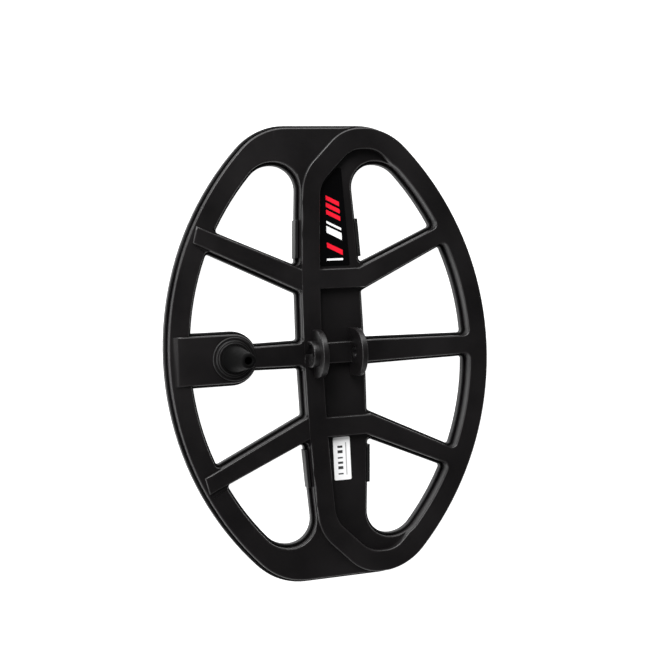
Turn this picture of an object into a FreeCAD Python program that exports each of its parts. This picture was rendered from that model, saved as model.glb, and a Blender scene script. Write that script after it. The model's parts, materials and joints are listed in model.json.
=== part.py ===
"""Search coil of a metal detector: an open-spoke double-D coil head with its clip-on skid plate.

Frame: +Z is the coil's upper side (ears and cable), +Y the long axis, +X the receive side.
The origin is the centre of the skid plate's underside. Lengths are in millimetres.
"""
import FreeCAD, Part
import math
import os

V = FreeCAD.Vector

# ---- driving dimensions -------------------------------------------------------------------
HALF_WIDTH = 114.3          # the coil is 12 in by 9 in over the skid plate
HALF_LENGTH = 152.4
SIDE_RADIUS = 200.0         # long sides
CORNER_RADIUS = 45.0        # between the sides and the flat ends

SPINE_HALF = 24.0           # half width of the spine at y = 0
SPINE_RADIUS = 1500.0       # its edges bow inwards towards the ends
RING_INSIDE = 96.9          # ring's inner edge at y = 0
RING_INSIDE_RADIUS = 179.0
END_WINDOW_Y = 126.1
END_WINDOW_SPINE_R = 16.0
END_WINDOW_RING_R = 20.0
WINDOW_CORNER_R = 2.0
SPOKE_UPPER = ((28.0, 62.0), (68.0, 79.4))      # edge of a slanted spoke, away from y = 0
SPOKE_LOWER = ((28.0, 42.8), (76.0, 65.8))      # edge towards y = 0
MID_SPOKE = ((24.0, 9.4), (97.0, 8.2))          # half of the middle spoke, tapering outwards
BOSS_X = -69.8              # centre of the cable boss
BOSS_HALF = 17.9
BOSS_TIP = -109.4           # where the boss runs out on the ring
SPOKE_TIP = 69.0            # length of a raised slanted spoke along its edge line
END_SLOPE = 3.5             # run of their sloped ends

# levels
SKID_FLOOR = 1.5
SKID_RIM_TOP = 4.6
LUG_TOP = 7.6
BASE_BOTTOM = 1.8
BASE_TOP = 3.4
SHELL_BOTTOM = 3.6
PANEL_TOP = 8.5
LEFT_TOP = 10.8
LEFT_SPOKE_TOP = 12.4
RIGHT_TOP = 13.2
ROOF = 1.8

# wall offsets, measured inwards from the skid plate's edges
RIM_OUTER_WALL = 1.7
RIM_WINDOW_WALL = 1.6
SHELL_INSET = 2.1
SHELL_GROW = 2.0
CAVITY_INSET = SHELL_INSET + 1.8
CAVITY_GROW = SHELL_GROW + 1.6

# raised D of the receive side
D_BAR_WIDTH = 13.5
D_SIDE_WALL = RING_INSIDE_RADIUS + 1.0
D_DIAGONAL = 137.1          # outer diagonal is the line y = x + this
D_DIAGONAL_IN = 117.3       # inner diagonal
D_END_OUT = 150.0
D_END_IN = 135.8
D_OUTER_R = 30.0
D_INNER_R = 19.0
BAR_SLOPE = 0.0667          # slope of the bar's edges past the bowed stretch

CROSS_HALF = 6.8            # crosspiece at y = 0
CROSS_LOW = 42.6            # slanted spokes' crosspieces on the spine
CROSS_HIGH = 56.2
PANEL_EDGE_START = -1.2      # along a slanted spoke's edge, where the panel opens into the window
PANEL_LOW_CORNER = (25.9, 7.37)      # where the middle windows' rounded corners begin
PANEL_HIGH_CORNER = (23.7, 42.95)

# pivot ears
EAR_INNER = (-11.8, 11.0)   # inner faces of the two ears
EAR_THICKNESS = 4.0
EAR_RADIUS = 16.0
PIVOT_Z = 19.5
PIVOT_R = 4.1
NUT_BOSS_R = 8.8
NUT_BOSS_LENGTH = 4.0
NUT_FLATS = 13.2
NUT_DEPTH = 3.0

# cable gland and strain relief
GLAND_HOLE_R = 7.2
GLAND_SHANK_R = 7.0
GLAND_FLANGE_R = 14.3
GLAND_STEP_R = 11.8
GLAND_TOP = 15.0
SLEEVE_BASE_R = 9.0
SLEEVE_TIP_R = 4.6
SLEEVE_TOP = 49.5
CABLE_R = 2.4

# windings
WINDING_OUT = 3.2           # gap from the shell wall to the bundle
WINDING_IN = 3.0
TRANSMIT_Z = (3.9, 6.1)
RECEIVE_Z = (7.7, 10.8)

BOARD = (-98.0, -72.0, 10.0)            # low x, high x, half width
BOARD_Z = (4.4, 5.6)
BOARD_SCREWS = ((-95.5, 7.0), (-95.5, -7.0))

TALL = 60.0


# ---- outline tools ------------------------------------------------------------------------
def rounded_wire(corners, z=0.0):
    """Closed wire through (x, y, radius) corners, each rounded by a tangent arc."""
    count = len(corners)
    spans = []
    for i in range(count):
        x, y, radius = corners[i]
        here = V(x, y, z)
        before = V(corners[i - 1][0], corners[i - 1][1], z)
        after = V(corners[(i + 1) % count][0], corners[(i + 1) % count][1], z)
        to_before = (before - here).normalize()
        to_after = (after - here).normalize()
        if radius <= 0:
            spans.append((here, None, here))
            continue
        half_angle = to_before.getAngle(to_after) / 2.0
        run = radius / math.tan(half_angle)
        bisector = (to_before + to_after).normalize()
        middle = here + bisector * (radius / math.sin(half_angle) - radius)
        spans.append((here + to_before * run, middle, here + to_after * run))
    edges = []
    for i in range(count):
        start, middle, end = spans[i]
        if middle is not None:
            edges.append(Part.Arc(start, middle, end).toShape())
        following = spans[(i + 1) % count][0]
        if end.distanceToPoint(following) > 1e-6:
            edges.append(Part.LineSegment(end, following).toShape())
    return Part.Wire(edges)


def prism(corners, z0, z1):
    """Upright prism on a rounded polygon."""
    return Part.Face(rounded_wire(corners, z0)).extrude(V(0, 0, z1 - z0))


def cylinder(x, y, radius, z0, z1):
    return Part.makeCylinder(radius, z1 - z0, V(x, y, z0))


def box(x0, x1, y0, y1, z0, z1):
    return Part.makeBox(x1 - x0, y1 - y0, z1 - z0, V(x0, y0, z0))


def flip_y(shape):
    return shape.mirror(V(0, 0, 0), V(0, 1, 0))


def flip_x(shape):
    return shape.mirror(V(0, 0, 0), V(1, 0, 0))


def both_ends(shape):
    return [shape, flip_y(shape)]


def upright_edges(shape):
    """Edges parallel to Z, with their plan position."""
    found = []
    for edge in shape.Edges:
        first, last = edge.Vertexes[0].Point, edge.Vertexes[-1].Point
        if abs(first.x - last.x) < 1e-4 and abs(first.y - last.y) < 1e-4:
            found.append((edge, first.x, first.y))
    return found


def shifted_line(line, shift):
    """The same line moved by shift to the left of its direction, as start and unit direction."""
    (ax, ay), (bx, by) = line
    length = math.hypot(bx - ax, by - ay)
    ux, uy = (bx - ax) / length, (by - ay) / length
    return (ax - uy * shift, ay + ux * shift), (ux, uy)


def along(line, shift, distance):
    (ax, ay), (ux, uy) = shifted_line(line, shift)
    return ax + ux * distance, ay + uy * distance


# ---- plan outline and windows -------------------------------------------------------------
def outline(inset, z0, z1):
    """Outer outline moved inwards by inset: side arcs, corner arcs and flat ends."""
    side = SIDE_RADIUS - inset
    corner = CORNER_RADIUS - inset
    half_w = HALF_WIDTH - inset
    half_l = HALF_LENGTH - inset
    side_x = half_w - side
    corner_y = half_l - corner
    corner_x = side_x + math.sqrt((side - corner) ** 2 - corner_y ** 2)
    lean = math.atan2(corner_y, corner_x - side_x)
    joint = (side_x + side * math.cos(lean), side * math.sin(lean))
    middle = (lean + math.pi / 2) / 2
    bend = (corner_x + corner * math.cos(middle), corner_y + corner * math.sin(middle))

    def arc(first, through, last):
        return Part.Arc(V(*first, z0), V(*through, z0), V(*last, z0)).toShape()

    edges = []
    for sx in (1, -1):
        edges.append(arc((sx * joint[0], -joint[1]), (sx * half_w, 0), (sx * joint[0], joint[1])))
        for sy in (1, -1):
            edges.append(arc((sx * joint[0], sy * joint[1]), (sx * bend[0], sy * bend[1]),
                             (sx * corner_x, sy * half_l)))
    for sy in (1, -1):
        edges.append(Part.LineSegment(V(corner_x, sy * half_l, z0), V(-corner_x, sy * half_l, z0)).toShape())
    wire = Part.Wire(Part.__sortEdges__(edges))
    return Part.Face(wire).extrude(V(0, 0, z1 - z0))


def ring_disc(grow, z0, z1):
    """Disc whose edge is the ring's inner edge on the +X side."""
    radius = RING_INSIDE_RADIUS + grow
    return cylinder(RING_INSIDE - RING_INSIDE_RADIUS, 0, radius, z0, z1)


def spine_disc(grow, z0, z1):
    """Large disc whose edge is the spine's +X edge."""
    return cylinder(SPINE_HALF - SPINE_RADIUS, 0, SPINE_RADIUS - grow, z0, z1)


def end_window(grow, z0, z1):
    """Window between the slanted spoke and the end of the coil, on the +X +Y side."""
    near = along(SPOKE_UPPER, -grow, -20)
    far = along(SPOKE_UPPER, -grow, 85)
    top = END_WINDOW_Y + grow
    area = prism([(*near, 0), (*far, 0), (far[0], top, 0), (near[0], top, 0)], z0, z1)
    hole = area.common(ring_disc(grow, z0, z1)).cut(spine_disc(grow, z0, z1))
    for limit, radius in ((30, END_WINDOW_SPINE_R), (200, END_WINDOW_RING_R)):
        corner = [e for e, x, y in upright_edges(hole) if y > top - 0.01 and x < limit][-1:]
        if corner:
            hole = hole.makeFillet(radius + grow, corner)
    small = [e for e, x, y in upright_edges(hole) if y < 95]
    return hole.makeFillet(WINDOW_CORNER_R + grow, small)


def middle_window(grow, z0, z1):
    """Window between the middle spoke and the slanted spoke, on the +X +Y side."""
    corners = [along(MID_SPOKE, -grow, -15), along(MID_SPOKE, -grow, 90),
               along(SPOKE_LOWER, grow, 80), along(SPOKE_LOWER, grow, -20)]
    area = prism([(x, y, 0) for x, y in corners], z0, z1)
    hole = area.common(ring_disc(grow, z0, z1)).cut(spine_disc(grow, z0, z1))
    return hole.makeFillet(WINDOW_CORNER_R + grow, [e for e, x, y in upright_edges(hole)])


def cable_boss(shrink, z0, z1):
    """Wide part of the middle spoke on the -X side, under the cable gland."""
    half = BOSS_HALF - shrink
    block = box(-HALF_WIDTH, BOSS_X, -half, half, z0, z1)
    return block.fuse(cylinder(BOSS_X, 0, half, z0, z1))


def windows(grow, z0, z1):
    """All eight windows."""
    end = end_window(grow, z0, z1)
    middle = middle_window(grow, z0, z1)
    left_middle = flip_x(middle).cut(cable_boss(grow, z0 - 1, z1 + 1))
    found = []
    for hole in (end, flip_x(end), middle, left_middle):
        found.extend(both_ends(hole))
    return found


def footprint(inset, grow, z0, z1):
    """The coil's plan, with the outline moved in and the windows moved out."""
    return outline(inset, z0, z1).cut(windows(grow, z0 - 1, z1 + 1))


# ---- raised D and sunken panels -----------------------------------------------------------
def d_left_corners(shift, diagonal, end_y, radius, far_x):
    """Corners of a D whose bowed bar lies at -X: shift moves it in +X."""
    apex_x = -(SPINE_HALF - SHELL_GROW) - BAR_SLOPE * 50 + shift
    bar_x = apex_x + BAR_SLOPE * (diagonal - 18) / (1 - BAR_SLOPE)
    upper = [(bar_x, bar_x + diagonal, radius), (end_y - diagonal, end_y, radius), (far_x, end_y, 0)]
    lower = [(x, -y, r) for x, y, r in reversed(upper)]
    return lower + [(apex_x, 0, SPINE_RADIUS)] + upper


def d_outer(inset, z0, z1):
    """Everything on the receive side of the raised D's outer wall."""
    corners = d_left_corners(inset, D_DIAGONAL - 1.414 * inset, D_END_OUT - inset,
                             D_OUTER_R - inset, HALF_WIDTH + 20)
    return prism(corners, z0, z1)


def d_inner(grow, z0, z1):
    """Everything inside the raised D's inner wall."""
    corners = d_left_corners(D_BAR_WIDTH - grow, D_DIAGONAL_IN + 1.414 * grow, D_END_IN + grow,
                             D_INNER_R + grow, HALF_WIDTH + 20)
    area = prism(corners, z0, z1)
    side = cylinder(RING_INSIDE - RING_INSIDE_RADIUS, 0, D_SIDE_WALL + grow, z0, z1)
    inside = area.common(side)
    tip = [e for e, x, y in upright_edges(inside) if abs(y) > D_END_IN + grow - 0.01 and x > 25]
    return inside.makeFillet(16.0 + grow, tip)


def d_band(outer_gap, inner_gap, z0, z1):
    """Band that follows the raised D between its walls."""
    band = d_outer(outer_gap, z0, z1).common(outline(SHELL_INSET + outer_gap, z0, z1))
    return band.cut(d_inner(inner_gap, z0 - 1, z1 + 1))


def panels(grow, z0, z1):
    """The four sunken panels of the spine, open towards the windows on the +X side."""
    inside = d_inner(grow, z0, z1)
    edge_a = along(SPOKE_UPPER, -SHELL_GROW - grow, PANEL_EDGE_START)
    edge_b = along(SPOKE_UPPER, -SHELL_GROW - grow, 90)
    slope = (edge_b[1] - edge_a[1]) / (edge_b[0] - edge_a[0])
    low = CROSS_HIGH - grow
    turn_x = edge_a[0] + (low - edge_a[1]) / slope
    end_area = prism([(-40, low, 0), (turn_x, low, 0), (edge_a[0], edge_a[1] + 0.02, 0),
                      (edge_a[0] + 2, edge_a[1] + 4, 0), (edge_b[0], edge_b[1] + 3, 0),
                      (130, 160, 0), (-40, 160, 0)], z0, z1)
    low_x, low_y = PANEL_LOW_CORNER
    high_x, high_y = PANEL_HIGH_CORNER
    middle_area = prism([(-40, CROSS_HALF - grow, 0), (low_x, low_y - grow, 0), (low_x + 1, low_y + 2, 0),
                         (high_x + 2, high_y - 2, 0), (high_x, high_y + grow, 0),
                         (-40, CROSS_LOW + grow, 0)], z0, z1)
    found = []
    for area in (end_area, middle_area):
        found.extend(both_ends(inside.common(area)))
    return found


# ---- upper housing ------------------------------------------------------------------------
def left_spoke_strip(z0, z1):
    """Plan of a raised slanted spoke on the transmit side, carried on over the ring."""
    upper_in = along(SPOKE_UPPER, -SHELL_GROW + 0.05, -25)
    upper_out = along(SPOKE_UPPER, -SHELL_GROW + 0.05, 67.0)
    lower_in = along(SPOKE_LOWER, SHELL_GROW - 0.05, -25)
    lower_out = along(SPOKE_LOWER, SHELL_GROW - 0.05, 73.0)
    return flip_x(prism([(*lower_in, 0), (*lower_out, 0), (*upper_out, 0), (*upper_in, 0)], z0, z1))


def end_wedge(tip, direction):
    """What is taken off a raised strip so that its end slopes down to the ring at tip."""
    ux, uy = direction
    drop = LEFT_SPOKE_TOP - LEFT_TOP
    inner = V(tip[0] - ux * END_SLOPE, tip[1] - uy * END_SLOPE, LEFT_SPOKE_TOP)
    outer = V(tip[0] + ux * END_SLOPE, tip[1] + uy * END_SLOPE, LEFT_SPOKE_TOP - 2 * drop)
    profile = [inner, outer, outer + V(0, 0, 3 * drop), inner + V(0, 0, drop), inner]
    side = V(-uy, ux, 0) * BOSS_HALF
    face = Part.Face(Part.makePolygon([point - side for point in profile]))
    return face.extrude(side * 2)


def sloped_strip(z0, z1):
    """Raised slanted spoke on the transmit side with its sloped end."""
    ux, uy = shifted_line(SPOKE_UPPER, 0)[1]
    middle = along(SPOKE_UPPER, -4.0, SPOKE_TIP)
    return left_spoke_strip(z0, z1).cut(end_wedge((-middle[0], middle[1]), (-ux, uy)))


def left_side_cuts():
    """What is taken off above the transmit side: ring and caps lower, spokes a little higher."""
    top = RIGHT_TOP + 1
    left = box(-HALF_WIDTH - 5, HALF_WIDTH, -HALF_LENGTH - 5, HALF_LENGTH + 5, LEFT_TOP, top)
    left = left.cut(d_outer(0, LEFT_TOP - 1, top + 1))
    keep = both_ends(sloped_strip(LEFT_TOP - 1, LEFT_SPOKE_TOP))
    boss_half = BOSS_HALF - SHELL_GROW
    keep.append(box(BOSS_X, -10, -MID_SPOKE[0][1], MID_SPOKE[0][1], LEFT_TOP - 1, LEFT_SPOKE_TOP))
    block = box(BOSS_TIP, BOSS_X, -boss_half - 0.05, boss_half + 0.05, LEFT_TOP - 1, LEFT_SPOKE_TOP)
    keep.append(block.cut(end_wedge((BOSS_TIP, 0), (-1, 0))))
    keep.append(cylinder(BOSS_X, 0, boss_half + 0.05, LEFT_TOP - 1, LEFT_SPOKE_TOP))
    return left.cut(keep)


def ear(x0, x1, radius, z0):
    """Upright plate between two x planes with a round top about the pivot."""
    plate = box(x0, x1, -radius, radius, z0, PIVOT_Z)
    disc = Part.makeCylinder(radius, x1 - x0, V(x0, 0, PIVOT_Z), V(1, 0, 0))
    return plate.fuse(disc.common(box(x0, x1, -radius, radius, z0, TALL)))


def hex_pocket(x0, x1):
    """Hexagonal nut pocket along X with a corner pointing up."""
    radius = NUT_FLATS / math.sqrt(3)
    points = []
    for i in range(7):
        turn = math.radians(60 * i + 90)
        points.append(V(x0, radius * math.cos(turn), PIVOT_Z + radius * math.sin(turn)))
    return Part.Face(Part.makePolygon(points)).extrude(V(x1 - x0, 0, 0))


def upper_housing():
    shell = footprint(SHELL_INSET, SHELL_GROW, SHELL_BOTTOM, RIGHT_TOP)
    shell = shell.cut([left_side_cuts()] + panels(0, PANEL_TOP, RIGHT_TOP + 1))
    low = footprint(CAVITY_INSET, CAVITY_GROW, SHELL_BOTTOM - 1, PANEL_TOP - ROOF)
    walls = panels(ROOF, PANEL_TOP - ROOF - 1, RIGHT_TOP)
    middle = footprint(CAVITY_INSET, CAVITY_GROW, PANEL_TOP - ROOF, LEFT_TOP - ROOF).cut(walls)
    high = footprint(CAVITY_INSET, CAVITY_GROW, LEFT_TOP - ROOF, RIGHT_TOP - ROOF)
    high = high.common(d_outer(ROOF, LEFT_TOP - ROOF - 1, RIGHT_TOP)).cut(walls)
    shell = shell.cut([low, middle, high])
    outer = EAR_INNER[0] - EAR_THICKNESS
    boss_face = outer - NUT_BOSS_LENGTH
    shell = shell.fuse([ear(outer, EAR_INNER[0], EAR_RADIUS, RIGHT_TOP - 1),
                        ear(EAR_INNER[1], EAR_INNER[1] + EAR_THICKNESS, EAR_RADIUS, PANEL_TOP - 1),
                        ear(boss_face, outer, NUT_BOSS_R, LEFT_SPOKE_TOP - 1)])
    pivot = Part.makeCylinder(PIVOT_R, 60, V(-30, 0, PIVOT_Z), V(1, 0, 0))
    pocket = hex_pocket(boss_face - 1, boss_face + NUT_DEPTH)
    gland_hole = cylinder(BOSS_X, 0, GLAND_HOLE_R, SHELL_BOTTOM, TALL)
    return shell.cut([pivot, pocket, gland_hole]).removeSplitter()


# ---- other shells -------------------------------------------------------------------------
def skid_plate():
    floor = footprint(0, 0, 0, SKID_FLOOR)
    rim = footprint(0, 0, SKID_FLOOR, SKID_RIM_TOP)
    rim = rim.cut(footprint(RIM_OUTER_WALL, RIM_WINDOW_WALL, SKID_FLOOR - 1, SKID_RIM_TOP + 1))
    lugs = []
    for y0, y1 in ((64.0, 89.5), (-89.5, -64.0)):
        slab = box(-30, 30, y0, y1, 0, LUG_TOP)
        outside = spine_disc(-0.8, 0, LUG_TOP).cut(spine_disc(RIM_WINDOW_WALL, -1, LUG_TOP + 1))
        lug = slab.common(outside)
        lugs.extend([lug, flip_x(lug)])
    return floor.fuse([rim] + lugs).removeSplitter()


def lower_housing():
    plate = footprint(SHELL_INSET, SHELL_GROW, BASE_BOTTOM, BASE_TOP)
    posts = [cylinder(x, y, 2.6, BASE_TOP - 0.5, BOARD_Z[0]) for x, y in BOARD_SCREWS]
    holes = [cylinder(x, y, 1.3, BASE_BOTTOM + 0.6, TALL) for x, y in BOARD_SCREWS]
    return plate.fuse(posts).cut(holes).removeSplitter()


def seam_sealant():
    bead = footprint(SHELL_INSET + 0.3, SHELL_GROW + 0.3, BASE_TOP, SHELL_BOTTOM)
    return bead.cut(footprint(CAVITY_INSET - 0.3, CAVITY_GROW - 0.3, BASE_TOP - 1, SHELL_BOTTOM + 1))


# ---- windings and fillers -----------------------------------------------------------------
def receive_winding():
    return d_band(WINDING_OUT, WINDING_IN, *RECEIVE_Z)


def transmit_winding():
    return flip_x(d_band(WINDING_OUT, WINDING_IN, *TRANSMIT_Z))


def receive_shield():
    return d_band(WINDING_OUT - 0.4, WINDING_IN - 0.4, RECEIVE_Z[1] + 0.1, RECEIVE_Z[1] + 0.3)


def transmit_shield():
    band = d_band(WINDING_OUT - 0.4, WINDING_IN - 0.4, TRANSMIT_Z[1] + 0.3, TRANSMIT_Z[1] + 0.45)
    return flip_x(band)


def winding_spacers():
    band = d_band(WINDING_OUT, WINDING_IN, BASE_TOP + 0.1, RECEIVE_Z[0] - 0.1)
    places = []
    for y in (-84, -30, 30, 84):
        places.append(box(-30, 0, y - 8, y + 8, 0, TALL))
    for y in (-108, -54, 0, 54, 108):
        places.append(box(40, 130, y - 9, y + 9, 0, TALL))
    pieces = [band.common(place) for place in places]
    return Part.makeCompound([solid for piece in pieces for solid in piece.Solids])


def winding_ties():
    low, high = TRANSMIT_Z
    wide = flip_x(d_band(WINDING_OUT - 0.3, WINDING_IN - 0.3, low - 0.2, high + 0.2))
    ring = wide.cut(transmit_winding())
    places = []
    for y in (-72, -24, 24, 72):
        places.append(box(0, 30, y - 1.5, y + 1.5, 0, TALL))
    for y in (-96, -48, 20, 48, 96):
        places.append(box(-130, -40, y - 1.5, y + 1.5, 0, TALL))
    pieces = [ring.common(place) for place in places]
    return Part.makeCompound([solid for piece in pieces for solid in piece.Solids])


def spine_filler():
    end_half, middle_half, half_length = 6.6, 9.5, 104
    corners = [(-end_half, -half_length, 3), (end_half, -half_length, 3), (middle_half, 0, 0),
               (end_half, half_length, 3), (-end_half, half_length, 3), (-middle_half, 0, 0)]
    return prism(corners, BASE_TOP + 0.1, 6.6)


def ring_filler():
    """Foam over the transmit bundle, along the ring only."""
    band = flip_x(d_band(WINDING_OUT, WINDING_IN, TRANSMIT_Z[1] + 0.5, LEFT_TOP - ROOF - 0.1))
    return band.common(box(-130, -101.0, -40, 40, 0, TALL))


# ---- tuning board -------------------------------------------------------------------------
def circuit_board():
    x0, x1, half = BOARD
    board = prism([(x0, -half, 1.5), (x1, -half, 1.5), (x1, half, 1.5), (x0, half, 1.5)], *BOARD_Z)
    return board.cut([cylinder(x, y, 1.3, 0, TALL) for x, y in BOARD_SCREWS])


def board_screws():
    top = BOARD_Z[1]
    screws = []
    for x, y in BOARD_SCREWS:
        shank = cylinder(x, y, 1.2, BASE_BOTTOM + 0.8, top)
        head = cylinder(x, y, 2.2, top, top + 1.3)
        slot = box(x - 3, x + 3, y - 0.3, y + 0.3, top + 0.7, top + 2)
        screws.append(shank.fuse(head).cut(slot).removeSplitter())
    return Part.makeCompound(screws)


def board_chip():
    top = BOARD_Z[1]
    body = box(-89, -83.5, -3.2, 3.2, top + 0.15, top + 1.7)
    legs = []
    for i in range(4):
        y = -2.4 + 1.6 * i
        for x0, x1 in ((-90, -89), (-83.5, -82.5)):
            legs.append(box(x0, x1, y - 0.25, y + 0.25, top, top + 0.6))
    return body.fuse(legs).removeSplitter()


def board_capacitors():
    top = BOARD_Z[1]
    places = ((-93.5, 0.0), (-86.0, 6.6), (-86.0, -6.6))
    return Part.makeCompound([box(x - 1.6, x + 1.6, y - 1.3, y + 1.3, top, top + 1.6) for x, y in places])


def transmit_leads():
    """Two short wires from the board's outer edge to the transmit bundle."""
    length = 2.8
    return Part.makeCompound([Part.makeCylinder(0.5, length, V(BOARD[0] - length, y, 5.0), V(1, 0, 0))
                              for y in (-3.0, 3.0)])


def receive_leads():
    """Two wires along the middle spoke that turn up into the receive bundle's bar."""
    bend = 1.6
    end_x = -14.5
    z = 5.0
    wires = []
    for y in (-2.5, 2.5):
        start = V(BOARD[1], y, z)
        turn = V(end_x - bend, y, z)
        middle = V(end_x - bend + bend * math.sin(math.pi / 4), y, z + bend * (1 - math.cos(math.pi / 4)))
        up = V(end_x, y, z + bend)
        path = Part.Wire([Part.LineSegment(start, turn).toShape(), Part.Arc(turn, middle, up).toShape(),
                          Part.LineSegment(up, V(end_x, y, RECEIVE_Z[0])).toShape()])
        section = Part.Wire([Part.makeCircle(0.5, start, V(1, 0, 0))])
        wires.append(path.makePipeShell([section], True, True))
    return Part.makeCompound(wires)


# ---- gland and strain relief --------------------------------------------------------------
def turned(profile):
    """Solid turned about the gland's upright axis from (radius, z) points."""
    points = [V(BOSS_X + r, 0, z) for r, z in profile]
    face = Part.Face(Part.makePolygon(points + points[:1]))
    return face.revolve(V(BOSS_X, 0, 0), V(0, 0, 1), 360)


def cable_gland():
    """Stepped flange on the boss, with its threaded shank and the socket for the sleeve."""
    low = LEFT_SPOKE_TOP
    return turned([(CABLE_R + 0.4, 6.2), (GLAND_SHANK_R, 6.2), (GLAND_SHANK_R, low), (9.2, low),
                   (9.2, low + 0.9), (10.9, low + 0.9), (10.9, low), (GLAND_FLANGE_R, low),
                   (GLAND_FLANGE_R, low + 0.9), (GLAND_FLANGE_R - 0.5, low + 1.4), (GLAND_STEP_R, low + 1.4),
                   (GLAND_STEP_R, low + 2.1), (SLEEVE_BASE_R + 1.2, low + 2.1),
                   (SLEEVE_BASE_R + 1.2, GLAND_TOP), (SLEEVE_BASE_R + 0.1, GLAND_TOP),
                   (SLEEVE_BASE_R + 0.1, low + 1.9), (CABLE_R + 0.4, low + 1.9)])


def gland_seal():
    return turned([(9.3, LEFT_SPOKE_TOP), (10.8, LEFT_SPOKE_TOP), (10.8, LEFT_SPOKE_TOP + 0.85),
                   (9.3, LEFT_SPOKE_TOP + 0.85)])


def gland_nut():
    low, high = 6.6, LEFT_TOP - ROOF - 0.05
    flats = 19.0
    radius = flats / math.sqrt(3)
    corners = []
    for i in range(6):
        turn = math.radians(60 * i)
        corners.append((BOSS_X + radius * math.cos(turn), radius * math.sin(turn), 1.0))
    return prism(corners, low, high).cut(cylinder(BOSS_X, 0, GLAND_SHANK_R + 0.05, 0, TALL))


def strain_relief():
    """Tapered rubber sleeve with a foot in the gland, a collar and a rounded tip."""
    foot = LEFT_SPOKE_TOP + 2.0
    slope = (SLEEVE_BASE_R - SLEEVE_TIP_R) / (SLEEVE_TOP - GLAND_TOP)
    shoulder = SLEEVE_TOP - 1.2
    return turned([(CABLE_R, foot), (SLEEVE_BASE_R, foot), (SLEEVE_BASE_R, GLAND_TOP + 0.4),
                   (SLEEVE_TIP_R + slope * 1.2, shoulder), (SLEEVE_TIP_R - 0.6, SLEEVE_TOP),
                   (CABLE_R, SLEEVE_TOP)])


# ---- labels -------------------------------------------------------------------------------
def front_label():
    """Thin glossy label in the upper panel, with one corner cut along the D's diagonal."""
    corners = [(-6.2, 58.2, 1), (14.6, 58.2, 1), (11.6, 123.5, 1), (8.6, 123.5, 1), (-3.6, 110.5, 1)]
    return prism(corners, PANEL_TOP, PANEL_TOP + 0.35)


def serial_label():
    return prism([(-3.5, -86.2, 1), (8.5, -86.2, 1), (8.5, -57.2, 1), (-3.5, -57.2, 1)],
                 PANEL_TOP, PANEL_TOP + 0.3)


NODES = {
    "skid_plate": skid_plate,
    "lower_housing": lower_housing,
    "upper_housing": upper_housing,
    "seam_sealant": seam_sealant,
    "transmit_winding": transmit_winding,
    "receive_winding": receive_winding,
    "transmit_shield": transmit_shield,
    "receive_shield": receive_shield,
    "winding_spacers": winding_spacers,
    "winding_ties": winding_ties,
    "spine_filler": spine_filler,
    "ring_filler": ring_filler,
    "circuit_board": circuit_board,
    "board_chip": board_chip,
    "board_capacitors": board_capacitors,
    "board_screws": board_screws,
    "transmit_leads": transmit_leads,
    "receive_leads": receive_leads,
    "cable_gland": cable_gland,
    "gland_seal": gland_seal,
    "gland_nut": gland_nut,
    "strain_relief": strain_relief,
    "front_label": front_label,
    "serial_label": serial_label,
}


def main():
    os.makedirs("parts", exist_ok=True)
    for name, make in NODES.items():
        shape = make()
        if not shape.isValid():
            raise SystemExit(name + " is not a valid shape")
        shape.exportStep(os.path.join("parts", name + ".step"))
        size = shape.BoundBox
        print("%-18s solids %2d volume %9.1f  z %.1f to %.1f" % (
            name, len(shape.Solids), shape.Volume, size.ZMin, size.ZMax))


main()
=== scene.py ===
"""Looks of the metal detector search coil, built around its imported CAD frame.

The row frame has +Z on the upper side, +Y along the long axis and +X on the receive side. Lengths
are in metres, apart from the labels, shell levels and turned profiles, whose comments say millimetres.
"""

import bmesh
import bpy
import json
import math
from mathutils import Matrix, Vector


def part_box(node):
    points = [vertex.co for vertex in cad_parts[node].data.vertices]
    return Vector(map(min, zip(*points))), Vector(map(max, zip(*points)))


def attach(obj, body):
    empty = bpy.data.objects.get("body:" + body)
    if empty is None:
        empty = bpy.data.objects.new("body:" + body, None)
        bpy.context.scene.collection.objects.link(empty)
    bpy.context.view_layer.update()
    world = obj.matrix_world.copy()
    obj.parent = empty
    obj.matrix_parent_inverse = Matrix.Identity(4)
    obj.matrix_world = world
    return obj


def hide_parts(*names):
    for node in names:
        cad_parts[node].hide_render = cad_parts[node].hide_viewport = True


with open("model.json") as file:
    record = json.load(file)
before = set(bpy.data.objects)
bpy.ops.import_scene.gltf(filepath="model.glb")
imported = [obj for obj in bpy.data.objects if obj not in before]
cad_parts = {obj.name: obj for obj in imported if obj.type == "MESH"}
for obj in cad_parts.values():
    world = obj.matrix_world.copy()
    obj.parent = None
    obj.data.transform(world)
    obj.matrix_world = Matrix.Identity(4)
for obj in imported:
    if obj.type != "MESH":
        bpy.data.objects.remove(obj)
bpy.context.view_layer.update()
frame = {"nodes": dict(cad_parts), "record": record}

MM = 0.001

# ---- camera, floor and light --------------------------------------------------------------
CAMERA_TURNS = (18.7, 1.3, 2.8)                     # degrees about Y, X and Z
ORIGIN_SEEN = Vector((0.0029, -0.0183, -0.8146))    # the row's origin in camera space
SENSOR = 36.0
LENS = 66.5

# light tent: parts of a direction over which its light fades, and how bright it is past them
FADE_UP = (0.45, 0.85)
OVERHEAD_GREY = 0.06
FADE_ACROSS = (-0.3, 0.6)
SIDE_STRENGTHS = (1.5, 0.4)

FLOOR_SIZE = 12.0
FLOOR_DROP = 0.5 * MM                               # gap under the coil
FLOOR_GREY = 0.5


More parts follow.
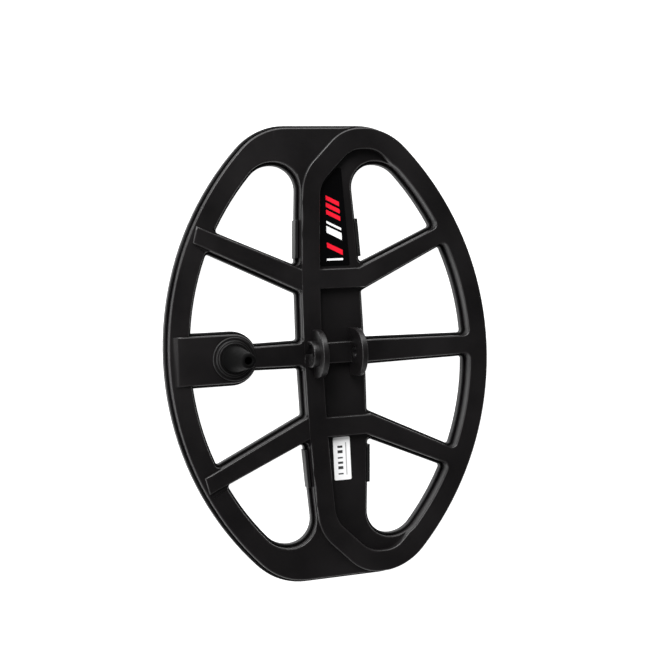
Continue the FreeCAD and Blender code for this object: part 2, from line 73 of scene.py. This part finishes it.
def make_camera():
    about_y, about_x, about_z = (math.radians(turn) for turn in CAMERA_TURNS)
    tilt = Matrix.Rotation(about_x, 3, "X") @ Matrix.Rotation(about_y, 3, "Y")
    seen = Matrix.Rotation(about_z, 3, "Z") @ tilt
    data = bpy.data.cameras.new("view")
    data.sensor_width = SENSOR
    data.lens = LENS
    data.clip_start = 0.01
    camera = bpy.data.objects.new("view", data)
    bpy.context.scene.collection.objects.link(camera)
    place = seen.transposed().to_4x4()
    place.translation = -(seen.transposed() @ ORIGIN_SEEN)
    camera.matrix_world = place
    bpy.context.scene.camera = camera


def add_light(name, kind, place, power, **settings):
    """Light at place that points at the origin."""
    data = bpy.data.lights.new(name, kind)
    data.energy = power
    for setting, value in settings.items():
        setattr(data, setting, value)
    lamp = bpy.data.objects.new(name, data)
    bpy.context.scene.collection.objects.link(lamp)
    lamp.location = place
    lamp.rotation_euler = (-Vector(place)).to_track_quat("-Z", "Y").to_euler()


def make_world():
    """Light tent: bright near the horizon and on the -X side, dim overhead and on the +X side."""
    world = bpy.data.worlds.new("studio")
    world.use_nodes = True
    nodes, links = world.node_tree.nodes, world.node_tree.links
    place = nodes.new("ShaderNodeTexCoord")
    split = nodes.new("ShaderNodeSeparateXYZ")
    ramp = nodes.new("ShaderNodeValToRGB")
    ramp.color_ramp.interpolation = "EASE"
    for element, height, grey in zip(ramp.color_ramp.elements, FADE_UP, (1.0, OVERHEAD_GREY)):
        element.position = height
        element.color = (grey, grey, grey, 1)
    side = nodes.new("ShaderNodeMapRange")
    for end, across, strength in zip(("Min", "Max"), FADE_ACROSS, SIDE_STRENGTHS):
        side.inputs["From " + end].default_value = across
        side.inputs["To " + end].default_value = strength
    links.new(place.outputs["Generated"], split.inputs[0])
    links.new(split.outputs["Z"], ramp.inputs[0])
    links.new(split.outputs["X"], side.inputs[0])
    links.new(ramp.outputs[0], nodes["Background"].inputs["Color"])
    links.new(side.outputs[0], nodes["Background"].inputs["Strength"])
    bpy.context.scene.world = world


def make_studio():
    make_world()
    add_light("key", "SUN", (-0.6, 1.0, 1.0), 2.4, angle=math.radians(24))
    add_light("far_box", "AREA", (0.0, 1.3, 0.6), 18.0, shape="RECTANGLE", size=1.4, size_y=0.6)
    add_light("left_box", "AREA", (-0.8, 0.0, 0.32), 4.0, shape="RECTANGLE", size=0.8, size_y=0.3)
    bpy.ops.mesh.primitive_plane_add(size=FLOOR_SIZE, location=(0, 0, -FLOOR_DROP))
    floor = bpy.context.object
    floor.name = "floor"
    paint = Paint("pale_floor", roughness=0.9)
    paint.shader.inputs["Base Color"].default_value = (FLOOR_GREY, FLOOR_GREY, FLOOR_GREY, 1)
    paint.shader.inputs["Emission Color"].default_value = (1, 1, 1, 1)
    paint.shader.inputs["Emission Strength"].default_value = 1.0
    floor.data.materials.append(paint.material)
    bpy.context.scene.view_settings.view_transform = "Standard"


# ---- materials ----------------------------------------------------------------------------
class Paint:
    """A node material being put together. Texture places are in metres in the row frame."""

    def __init__(self, name, roughness=0.5, specular=0.5, metallic=0.0, coat=0.0):
        self.material = bpy.data.materials.new(name)
        self.material.use_nodes = True
        self.nodes = self.material.node_tree.nodes
        self.links = self.material.node_tree.links
        self.shader = self.nodes["Principled BSDF"]
        self.shader.inputs["Roughness"].default_value = roughness
        self.shader.inputs["Specular IOR Level"].default_value = specular
        self.shader.inputs["Metallic"].default_value = metallic
        self.shader.inputs["Coat Weight"].default_value = coat
        self.place = self.nodes.new("ShaderNodeTexCoord").outputs["Object"]

    def join(self, value, socket):
        """Sets a plain value on the socket, or links another node's output to it."""
        if isinstance(value, (int, float, tuple)):
            socket.default_value = value
        else:
            self.links.new(value, socket)

    def maths(self, operation, *values):
        node = self.nodes.new("ShaderNodeMath")
        node.operation = operation
        for value, socket in zip(values, node.inputs):
            self.join(value, socket)
        return node.outputs[0]

    def stretched(self, scale, turn=0.0):
        """Texture place scaled, then turned about Z by degrees. A small scale draws the texture out."""
        node = self.nodes.new("ShaderNodeMapping")
        node.inputs["Scale"].default_value = scale
        node.inputs["Rotation"].default_value = (0, 0, math.radians(turn))
        self.links.new(self.place, node.inputs["Vector"])
        return node.outputs[0]

    def noise(self, size, detail=3.0, place=None):
        """Noise whose features are about size metres across."""
        node = self.nodes.new("ShaderNodeTexNoise")
        node.inputs["Scale"].default_value = 1.0 / size
        node.inputs["Detail"].default_value = detail
        self.links.new(place or self.place, node.inputs["Vector"])
        return node.outputs["Fac"]

    def cells(self, size, feature="F1"):
        """Cells about size metres across: 0 at a cell's middle, or at its edge for DISTANCE_TO_EDGE."""
        node = self.nodes.new("ShaderNodeTexVoronoi")
        node.feature = feature
        node.inputs["Scale"].default_value = 1.0 / size
        self.links.new(self.place, node.inputs["Vector"])
        return node.outputs["Distance"]

    def spread(self, value, from_low, from_high, to_low, to_high):
        """Maps value from one range to another and stops at the ends of the second."""
        node = self.nodes.new("ShaderNodeMapRange")
        for amount, socket in zip((value, from_low, from_high, to_low, to_high), node.inputs):
            self.join(amount, socket)
        return node.outputs[0]

    def join_colour(self, value, socket):
        """Like join, but a plain colour gets its alpha first."""
        self.join((*value, 1.0) if isinstance(value, tuple) else value, socket)

    def blend(self, amount, first, second):
        node = self.nodes.new("ShaderNodeMix")
        node.data_type = "RGBA"
        self.join(amount, node.inputs["Factor"])
        self.join_colour(first, node.inputs["A"])
        self.join_colour(second, node.inputs["B"])
        return node.outputs["Result"]

    def colour(self, value):
        self.join_colour(value, self.shader.inputs["Base Color"])

    def roughness(self, value):
        self.join(value, self.shader.inputs["Roughness"])

    def bump(self, height, depth):
        """Raises the surface by height times depth, on top of any bump before it."""
        node = self.nodes.new("ShaderNodeBump")
        node.inputs["Strength"].default_value = 1.0
        node.inputs["Distance"].default_value = depth
        self.links.new(height, node.inputs["Height"])
        before = self.shader.inputs["Normal"].links
        if before:
            self.links.new(before[0].from_socket, node.inputs["Normal"])
        self.links.new(node.outputs[0], self.shader.inputs["Normal"])

    def attribute(self, name):
        node = self.nodes.new("ShaderNodeAttribute")
        node.attribute_name = name
        return node.outputs["Fac"]

    def scratches(self, size, turn, reach=0.74):
        """Thin stretched marks, 1 on a mark."""
        marks = self.noise(size, 2.0, self.stretched((1.0, 0.03, 1.0), turn))
        return self.spread(marks, reach, reach + 0.04, 0.0, 1.0)


def moulded_plastic(name, dark, light, rough, grain=0.00035, depth=0.000018, scuffs=0.25, specular=0.35):
    """Black moulded plastic: fine grain, cloudy sheen, polished edges with some wear and a painted
    highlight, and a few hairline scuffs.
    """
    paint = Paint(name, specular=specular)
    cloud = paint.noise(0.045, 4.0)
    speck = paint.noise(0.0012, 2.0)
    edge = paint.attribute("edge_wear_and_highlight")
    marks = paint.maths("MAXIMUM", paint.scratches(0.0011, 24), paint.scratches(0.0014, -52, 0.76))
    marks = paint.maths("MULTIPLY", marks, scuffs)
    base = paint.blend(paint.spread(cloud, 0.35, 0.65, 0.0, 1.0), dark, light)
    base = paint.blend(paint.spread(speck, 0.55, 0.75, 0.0, 0.25), base, tuple(2.2 * c for c in light))
    # Bevelled edges are made lighter in patches: partly edge wear, partly a painted highlight where the
    # edges catch the light.
    edge_wear_and_highlight = paint.maths("MULTIPLY", edge, paint.spread(paint.noise(0.006), 0.35, 0.7, 0.15, 0.9))
    base = paint.blend(paint.maths("MULTIPLY", edge_wear_and_highlight, 0.45), base, tuple(3.0 * c for c in light))
    base = paint.blend(marks, base, tuple(5.0 * c for c in light))
    paint.colour(base)
    sheen = paint.spread(cloud, 0.3, 0.7, rough - 0.05, rough + 0.06)
    sheen = paint.maths("SUBTRACT", sheen, paint.maths("MULTIPLY", edge_wear_and_highlight, 0.08))
    paint.roughness(paint.maths("ADD", sheen, paint.maths("MULTIPLY", marks, 0.2)))
    paint.bump(paint.cells(grain), depth)
    paint.bump(paint.maths("MULTIPLY", marks, -1.0), depth)
    return paint.material


def soft_rubber(name, dark, light, rough, specular=0.3):
    """Matt rubber or cured sealant with specks of dust."""
    paint = Paint(name, specular=specular)
    cloud = paint.noise(0.006, 4.0)
    dust = paint.spread(paint.noise(0.0006, 3.0), 0.58, 0.8, 0.0, 0.4)
    base = paint.blend(cloud, dark, light)
    paint.colour(paint.blend(dust, base, tuple(3.0 * c for c in light)))
    paint.roughness(paint.spread(cloud, 0.3, 0.7, rough - 0.06, rough + 0.08))
    paint.bump(paint.noise(0.00025, 2.0), 0.00002)
    return paint.material


def metal(name, dark, light, rough, size=0.0005, brushed=(1.0, 1.0, 0.05)):
    """Metal with streaks along the axes whose brushed values are smallest."""
    paint = Paint(name, metallic=1.0)
    lines = paint.noise(size, 3.0, paint.stretched(brushed))
    paint.colour(paint.blend(lines, dark, light))
    paint.roughness(paint.spread(lines, 0.3, 0.7, rough - 0.08, rough + 0.1))
    paint.bump(lines, 0.00001)
    return paint.material


def coil_wire(name):
    """Enamelled strands laid side by side along the bundle."""
    paint = Paint(name, metallic=0.9, coat=0.5)
    strands = paint.noise(0.0004, 2.0, paint.stretched((1.0, 0.2, 1.0)))
    paint.colour(paint.blend(strands, (0.30, 0.09, 0.03), (0.78, 0.36, 0.16)))
    paint.roughness(paint.spread(strands, 0.3, 0.7, 0.22, 0.4))
    paint.bump(strands, 0.00012)
    return paint.material


def foam(name):
    """Pale open-cell foam, with painted shade in its pores."""
    paint = Paint(name, roughness=0.95, specular=0.2)
    pores = paint.cells(0.0011)
    # The pore hollows are painted darker than the cell walls: painted shade.
    raised = paint.spread(pores, 0.1, 0.7, 0.0, 1.0)
    paint.colour(paint.blend(raised, (0.5, 0.46, 0.37), (0.86, 0.83, 0.72)))
    paint.roughness(paint.spread(paint.noise(0.004), 0.3, 0.7, 0.88, 1.0))
    paint.bump(pores, 0.0004)
    return paint.material


def plain_part(name, dark, light, rough, size, depth, coat=0.0):
    """Small painted, ceramic or sealed part with a mottled surface."""
    paint = Paint(name, coat=coat)
    mottle = paint.noise(size, 4.0)
    paint.colour(paint.blend(mottle, dark, light))
    paint.roughness(paint.spread(mottle, 0.3, 0.7, rough - 0.06, rough + 0.08))
    paint.bump(mottle, depth)
    return paint.material


def label_mask(paint, across, along, x_range, y_range, slant=0.0):
    """1 inside a label's bar, else 0. Its ranges are in millimetres and slant is its rise per run."""
    lean = paint.maths("SUBTRACT", along, paint.maths("MULTIPLY", across, slant))
    mask = paint.maths("GREATER_THAN", across, x_range[0] * MM)
    for operation, value, limit in (("LESS_THAN", across, x_range[1]), ("GREATER_THAN", lean, y_range[0]),
                                    ("LESS_THAN", lean, y_range[1])):
        mask = paint.maths("MULTIPLY", mask, paint.maths(operation, value, limit * MM))
    return mask


def split_place(paint):
    """X and Y of the texture place."""
    node = paint.nodes.new("ShaderNodeSeparateXYZ")
    paint.links.new(paint.place, node.inputs[0])
    return node.outputs["X"], node.outputs["Y"]


RED = (0.75, 0.012, 0.03)
WHITE = (0.85, 0.85, 0.85)
STRIPES = (     # colour, x range, y range and slant of each bar, in millimetres
    (WHITE, (-1.5, 10.0), (61.6, 63.0), 0.0),
    (RED, (-1.0, 10.0), (70.0, 73.4), -0.5),
    (WHITE, (-0.8, 9.8), (80.0, 84.6), -0.5),
    (WHITE, (-0.6, 9.6), (86.4, 88.0), -0.5),
    (RED, (-0.5, 9.4), (92.6, 95.6), -0.5),
    (RED, (-0.4, 9.2), (97.4, 100.4), -0.5),
    (RED, (-0.3, 9.0), (102.2, 105.2), -0.5),
)

# white label, in millimetres
BAR_X = (-0.6, 3.0)
FIRST_BAR_Y = -82.5
BAR_PITCH = 3.6
BAR_THICKNESSES = (1.0, 2.0, 1.5, 1.0, 2.0, 1.5)
LINE_X = (5.0, 5.8)
LINE_Y = (-83.0, -61.0)


def striped_label(name):
    """Glossy black film with plain slanted stripes."""
    paint = Paint(name, specular=0.2, coat=0.15)
    paint.shader.inputs["Coat Roughness"].default_value = 0.08
    across, along = split_place(paint)
    base = paint.blend(paint.noise(0.02), (0.0008, 0.0008, 0.0009), (0.0016, 0.0016, 0.0018))
    for tint, x_range, y_range, slant in STRIPES:
        base = paint.blend(label_mask(paint, across, along, x_range, y_range, slant), base, tint)
    paint.colour(base)
    paint.roughness(paint.spread(paint.noise(0.01, 4.0), 0.3, 0.7, 0.12, 0.24))
    paint.bump(paint.noise(0.003, 2.0), 0.00001)
    return paint.material


def barred_label(name):
    """White film with a row of plain dark bars and a thin grey line beside them."""
    paint = Paint(name, coat=0.3)
    across, along = split_place(paint)
    base = paint.blend(paint.noise(0.004), (0.80, 0.80, 0.80), (0.88, 0.88, 0.88))
    for step, thickness in enumerate(BAR_THICKNESSES):
        low = FIRST_BAR_Y + step * BAR_PITCH
        bar = label_mask(paint, across, along, BAR_X, (low, low + thickness))
        base = paint.blend(bar, base, (0.03, 0.03, 0.03))
    line = label_mask(paint, across, along, LINE_X, LINE_Y)
    base = paint.blend(paint.maths("MULTIPLY", line, 0.6), base, (0.1, 0.1, 0.1))
    paint.colour(base)
    paint.roughness(paint.spread(paint.noise(0.006, 4.0), 0.3, 0.7, 0.25, 0.4))
    paint.bump(paint.noise(0.0008, 2.0), 0.00001)
    return paint.material


def board_paint(name):
    """Solder mask with copper tracks that show through it."""
    paint = Paint(name, coat=0.4)
    tracks = paint.spread(paint.cells(0.0022, "DISTANCE_TO_EDGE"), 0.04, 0.08, 1.0, 0.0)
    paint.colour(paint.blend(tracks, (0.006, 0.09, 0.03), (0.03, 0.2, 0.07)))
    paint.roughness(paint.spread(paint.noise(0.002), 0.3, 0.7, 0.25, 0.4))
    paint.bump(tracks, 0.00003)
    return paint.material


# ---- rounded copies of moulded shells -----------------------------------------------------
WELD_GAP = 0.002 * MM
FLAT_TURN = math.radians(0.4)       # faces that turn less than this are joined
SHORTEST_EDGE = 0.25 * MM

# shares of the free room that a bevel may take
MITRED = 0.9                        # along a neighbour that is rounded too
PLAIN = 0.8                         # towards an edge that stays sharp
FACING = 0.45                       # towards a rounded edge across the face
STRAIGHT_ON = math.radians(150)     # a neighbour at a wider angle than this doesn't limit it
NO_LIMIT = 1.0


def cleaned_shape(node):
    """The node's shape as a bmesh, with flat faces joined up and the shortest edges collapsed."""
    shape = bmesh.new()
    shape.from_mesh(frame["nodes"][node].data)
    bmesh.ops.remove_doubles(shape, verts=shape.verts, dist=WELD_GAP)
    bmesh.ops.dissolve_limit(shape, angle_limit=FLAT_TURN, verts=shape.verts, edges=shape.edges,
                             use_dissolve_boundaries=False, delimit={"NORMAL"})
    bmesh.ops.dissolve_degenerate(shape, dist=SHORTEST_EDGE, edges=shape.edges)
    return shape


def split_long(picked, longest):
    """Splits the long edges of picked, and adds the pieces, so that each can have its own width."""
    for edge in list(picked):
        vert = edge.verts[0]
        for pieces in range(math.ceil(edge.calc_length() / longest), 1, -1):
            new_edge, new_vert = bmesh.utils.edge_split(edge, vert, 1.0 / pieces)
            picked[new_edge] = picked[edge]
            if new_edge not in vert.link_edges:
                edge = new_edge
            vert = new_vert


def room_at_corners(loop, across, picked):
    """Widest bevel that the neighbours round the face leave at both ends of a loop's edge."""
    start, end = loop.vert.co, loop.link_loop_next.vert.co
    before, after = loop.link_loop_prev, loop.link_loop_next
    room = NO_LIMIT
    for near, corner, far, back in ((before, start, before.vert.co, end),
                                    (after, end, after.link_loop_next.vert.co, start)):
        arm = far - corner
        angle = arm.angle(back - corner, 0)
        if arm.dot(across) <= 0 or angle > STRAIGHT_ON:
            continue
        if near.edge in picked:
            room = min(room, MITRED * min((end - start).length, arm.length) * math.tan(angle / 2))
        else:
            room = min(room, PLAIN * arm.length * math.sin(angle))
    return room


def room_across(loop, across, picked, samples=7):
    """Widest bevel before it would run into the far side of the loop's face."""
    start, end = loop.vert.co, loop.link_loop_next.vert.co
    length = (end - start).length
    ahead = (end - start) / length
    skipped = (loop, loop.link_loop_prev, loop.link_loop_next)
    room = NO_LIMIT
    for other in loop.face.loops:
        if other in skipped:
            continue
        first, last = other.vert.co - start, other.link_loop_next.vert.co - start
        low, high = first.dot(ahead), last.dot(ahead)
        if abs(high - low) < 1e-9 or max(low, high) < 0 or min(low, high) > length:
            continue
        share = FACING if other.edge in picked else PLAIN
        for step in range(samples):
            place = length * step / (samples - 1)
            if (low - place) * (high - place) <= 0:
                height = first.dot(across) + (place - low) / (high - low) * (last - first).dot(across)
                if height > 1e-6:
                    room = min(room, share * height)
    return room


def tapered(widths, step, passes=3):
    """Narrows widths so that neighbours differ by step at most. It takes widest / step passes."""
    for _ in range(passes):
        before = dict(widths)
        for edge in widths:
            for vert in edge.verts:
                for other in vert.link_edges:
                    if other is not edge and other in before:
                        widths[edge] = min(widths[edge], before[other] + step)


def bevel_widths(shape, wanted, least_room, least_turn=35, longest=4 * MM, step=0.4 * MM):
    """Width of each edge to round: what wanted gives, no more than its faces have room for."""
    picked = {}
    for edge in shape.edges:
        if len(edge.link_faces) == 2 and edge.is_convex and wanted(edge) > 0:
            if edge.calc_face_angle(0) > math.radians(least_turn):
                picked[edge] = wanted(edge)
    split_long(picked, longest)
    widths = {}
    for edge, room in picked.items():
        for loop in edge.link_loops:
            across = loop.face.normal.cross(loop.link_loop_next.vert.co - loop.vert.co).normalized()
            room = min(room, room_at_corners(loop, across, picked), room_across(loop, across, picked))
        widths[edge] = room if room > least_room else 0.0
    tapered(widths, step)
    return widths


def new_piece(name, shape):
    """Object made from a bmesh, which is freed."""
    mesh = bpy.data.meshes.new(name)
    shape.to_mesh(mesh)
    shape.free()
    piece = bpy.data.objects.new(name, mesh)
    bpy.context.scene.collection.objects.link(piece)
    return piece


def rounded_copy(name, node, wanted, width, least_room, segments=3):
    """New piece with the node's shape and its wanted convex edges rounded, width at the widest.

    The bevel's faces get a second material index, which becomes a face attribute for edge wear and a
    painted edge highlight.
    """
    shape = cleaned_shape(node)
    weight = shape.edges.layers.float.new("bevel_weight_edge")
    for edge, room in bevel_widths(shape, wanted, least_room).items():
        edge[weight] = room / width
    piece = new_piece(name, shape)
    rounding = piece.modifiers.new("rounding", "BEVEL")
    rounding.limit_method = "WEIGHT"
    rounding.width = width
    rounding.segments = segments
    rounding.use_clamp_overlap = False
    rounding.material = 1
    for _ in range(2):
        piece.data.materials.append(None)
    rounded = bpy.data.meshes.new_from_object(piece.evaluated_get(bpy.context.evaluated_depsgraph_get()))
    piece.modifiers.clear()
    piece.data = rounded
    edge_wear_and_highlight = rounded.attributes.new("edge_wear_and_highlight", "FLOAT", "FACE")
    for face in rounded.polygons:
        edge_wear_and_highlight.data[face.index].value = float(face.material_index == 1)
        face.material_index = 0
    rounded.shade_smooth()
    rounded.set_sharp_from_angle(angle=math.radians(40))
    flat = piece.modifiers.new("flat_faces", "WEIGHTED_NORMAL")
    flat.weight = 100
    flat.keep_sharp = True
    return piece


def stand_in(piece, node, body, material):
    """Puts piece in the place of a CAD node."""
    piece.data.materials.clear()
    piece.data.materials.append(material)
    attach(piece, body)
    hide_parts(node)


# levels and distances of the shells, in millimetres
INNER_LEVELS = (3.6, 6.7, 9.0, 11.4)    # housing's seam face and the ceilings of its hollows
PANEL_TOP = 8.5                         # housing's lowest upper face
COIL_TOP = 13.2                         # top of the raised D, which only the ears rise past
RIM_TOP = 4.6                           # of the skid plate
PIVOT_Z = 19.5                          # of the bores through the ears
PIVOT_CLEAR = 8.5                       # the bores and the hexagonal pocket are nearer the axis
LEVEL_SLACK = 0.1
SAME_LEVEL = 0.01

# bevel widths, and the least that is worth having where room is short
TOP_ROUND = 1.2 * MM
TOP_LEAST = 0.6 * MM
EAR_ROUND = 0.7 * MM
SKID_ROUND = 0.5 * MM
SKID_LEAST = 0.2 * MM


def levels(edge):
    """Heights of the edge's ends in millimetres, lower one first, and whether they are the same."""
    low, high = sorted(vert.co.z / MM for vert in edge.verts)
    return low, high, high - low < SAME_LEVEL


def housing_round(edge):
    """Bevel width for the edges of the housing's upper faces and the rims of its ears and boss."""
    low, high, level = levels(edge)
    if level and any(abs(low - inner) < LEVEL_SLACK for inner in INNER_LEVELS):
        return 0.0
    if level and low < COIL_TOP + LEVEL_SLACK:
        return TOP_ROUND if high > PANEL_TOP - LEVEL_SLACK else 0.0
    from_pivot = min(math.hypot(vert.co.y / MM, vert.co.z / MM - PIVOT_Z) for vert in edge.verts)
    return EAR_ROUND if low > COIL_TOP - LEVEL_SLACK and from_pivot > PIVOT_CLEAR else 0.0


def skid_round(edge):
    """Bevel width for the edges of the skid plate's underside, rim and lugs."""
    low, high, level = levels(edge)
    return SKID_ROUND if level and (low < SAME_LEVEL or low > RIM_TOP - LEVEL_SLACK) else 0.0


def make_housing(material):
    piece = rounded_copy("housing_shell", "upper_housing", housing_round, TOP_ROUND, TOP_LEAST)
    stand_in(piece, "upper_housing", "coil", material)


def make_skid(material):
    piece = rounded_copy("skid_shell", "skid_plate", skid_round, SKID_ROUND, SKID_LEAST, segments=2)
    stand_in(piece, "skid_plate", "skid", material)


# ---- turned pieces ------------------------------------------------------------------------
# profiles, in millimetres
GLAND_RISE = 2.6            # gland's top above the boss
GLAND_BORE_R = 2.8
SHANK_R = 7.0
FLANGE_R = 14.3
GROOVE_R = 12.4             # thin groove near the flange's edge
GROOVE_HALF = 0.2
GROOVE_DEPTH = 0.25
CABLE_R = 2.4
SLEEVE_BASE_R = 9.0
SLEEVE_TIP_R = 4.7


def gland_axis():
    """X and Y of the axis that the gland and the sleeve share."""
    low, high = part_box("strain_relief")
    return (low.x + high.x) / 2, (low.y + high.y) / 2


def rounded_profile(corners, arc_steps):
    """Points of a closed outline whose corners are (radius, height, rounding)."""
    profile = []
    count = len(corners)
    for i, (radius, height, rounding) in enumerate(corners):
        here = Vector((radius, height))
        if rounding <= 0:
            profile.append(here)
            continue
        before = (Vector(corners[i - 1][:2]) - here).normalized()
        after = (Vector(corners[(i + 1) % count][:2]) - here).normalized()
        half = before.angle(after) / 2
        run = rounding / math.tan(half)
        centre = here + (before + after).normalized() * (rounding / math.sin(half))
        start, end = here + before * run - centre, here + after * run - centre
        sweep = start.angle_signed(end)
        for step in range(arc_steps + 1):
            turn = Matrix.Rotation(-sweep * step / arc_steps, 2)
            profile.append(centre + turn @ start)
    return profile


def turned_piece(name, corners, segments=128, arc_steps=5):
    """Closed solid turned about the gland's axis from (radius, height, rounding) corners in mm."""
    axis_x, axis_y = gland_axis()
    shape = bmesh.new()
    rings = []
    for point in rounded_profile(corners, arc_steps):
        ring = []
        for i in range(segments):
            angle = 2 * math.pi * i / segments
            ring.append(shape.verts.new((axis_x + point.x * MM * math.cos(angle),
                                         axis_y + point.x * MM * math.sin(angle), point.y * MM)))
        rings.append(ring)
    for first, second in zip(rings, rings[1:] + rings[:1]):
        for i in range(segments):
            j = (i + 1) % segments
            shape.faces.new((first[i], first[j], second[j], second[i]))
    bmesh.ops.recalc_face_normals(shape, faces=shape.faces)
    piece = new_piece(name, shape)
    piece.data.shade_smooth()
    piece.data.set_sharp_from_angle(angle=math.radians(35))
    return piece


def make_gland(material):
    low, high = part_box("cable_gland")
    top, bottom = high.z / MM, low.z / MM
    boss = top - GLAND_RISE
    flange, step, well = boss + 1.4, boss + 2.1, boss + 1.9
    corners = [(GLAND_BORE_R, bottom, 0), (SHANK_R, bottom, 0.4), (SHANK_R, boss, 0), (FLANGE_R, boss, 0),
               (FLANGE_R, flange, 0.7), (GROOVE_R + GROOVE_HALF, flange, 0.12),
               (GROOVE_R, flange - GROOVE_DEPTH, 0.12), (GROOVE_R - GROOVE_HALF, flange, 0.12),
               (12.0, flange, 0.1), (11.7, step, 0.4), (10.6, step, 0.15), (10.4, top, 0.25),
               (9.15, top, 0.12), (9.1, well, 0), (GLAND_BORE_R, well, 0)]
    piece = turned_piece("gland_flange", corners)
    stand_in(piece, "cable_gland", "coil", material)


def make_sleeve(material):
    low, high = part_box("strain_relief")
    foot, tip = low.z / MM, high.z / MM
    corners = [(CABLE_R, foot, 0), (SLEEVE_BASE_R, foot, 0), (SLEEVE_BASE_R, foot + 1.6, 0.5),
               (8.5, foot + 2.4, 0.5), (SLEEVE_TIP_R, tip, 1.5), (CABLE_R, tip, 0.6)]
    piece = turned_piece("cable_sleeve", corners, arc_steps=8)
    stand_in(piece, "strain_relief", "coil", material)


# ---- all nodes ----------------------------------------------------------------------------
def node_materials():
    """Material of each slot name, with dark and light base colours."""
    return {
        "skid_plastic": moulded_plastic("skid_plastic", (0.002, 0.002, 0.0021), (0.004, 0.004, 0.0042), 0.5,
                                        scuffs=0.5),
        "base_plastic": moulded_plastic("base_plastic", (0.008, 0.008, 0.008), (0.013, 0.013, 0.013), 0.52),
        "housing_plastic": moulded_plastic("housing_plastic", (0.0026, 0.0022, 0.0024),
                                           (0.0048, 0.0041, 0.0044), 0.36),
        "sealant": soft_rubber("sealant", (0.03, 0.03, 0.03), (0.06, 0.06, 0.06), 0.6),
        "copper": coil_wire("copper"),
        "foil": metal("foil", (0.6, 0.61, 0.63), (0.85, 0.86, 0.88), 0.28, 0.004, (1.0, 1.0, 1.0)),
        "foam": foam("foam"),
        "lacing": plain_part("lacing", (0.5, 0.47, 0.38), (0.82, 0.8, 0.7), 0.7, 0.0004, 0.0001),
        "board_green": board_paint("board_green"),
        "chip_black": plain_part("chip_black", (0.01, 0.01, 0.01), (0.03, 0.03, 0.03), 0.55, 0.0003,
                                 0.00002),
        "ceramic_tan": plain_part("ceramic_tan", (0.36, 0.24, 0.12), (0.55, 0.4, 0.24), 0.4, 0.0005,
                                  0.00001),
        "screw_steel": metal("screw_steel", (0.45, 0.45, 0.46), (0.7, 0.7, 0.72), 0.3),
        "lead_insulation": plain_part("lead_insulation", (0.35, 0.02, 0.02), (0.55, 0.05, 0.03), 0.35,
                                      0.002, 0.00001, 0.3),
        "gland_plastic": moulded_plastic("gland_plastic", (0.0020, 0.0018, 0.0019),
                                         (0.0036, 0.0032, 0.0034), 0.36),
        "seal_rubber": soft_rubber("seal_rubber", (0.01, 0.01, 0.01), (0.03, 0.03, 0.03), 0.5),
        "nut_brass": metal("nut_brass", (0.5, 0.36, 0.14), (0.8, 0.62, 0.3), 0.3, 0.0004, (1.0, 1.0, 8.0)),
        "sleeve_rubber": soft_rubber("sleeve_rubber", (0.0009, 0.0009, 0.0009), (0.002, 0.002, 0.002), 0.65,
                                     specular=0.05),
        "label_black": striped_label("label_black"),
        "label_white": barred_label("label_white"),
    }


def paint_nodes(materials):
    """Gives every CAD node the material of its slot."""
    for part in frame["record"]["subparts"]:
        data = frame["nodes"][part["node"]].data
        data.materials.clear()
        data.materials.append(materials[part["material_slot"]])


make_camera()
make_studio()
materials = node_materials()
paint_nodes(materials)
make_housing(materials["housing_plastic"])
make_skid(materials["skid_plastic"])
make_gland(materials["gland_plastic"])
make_sleeve(materials["sleeve_rubber"])
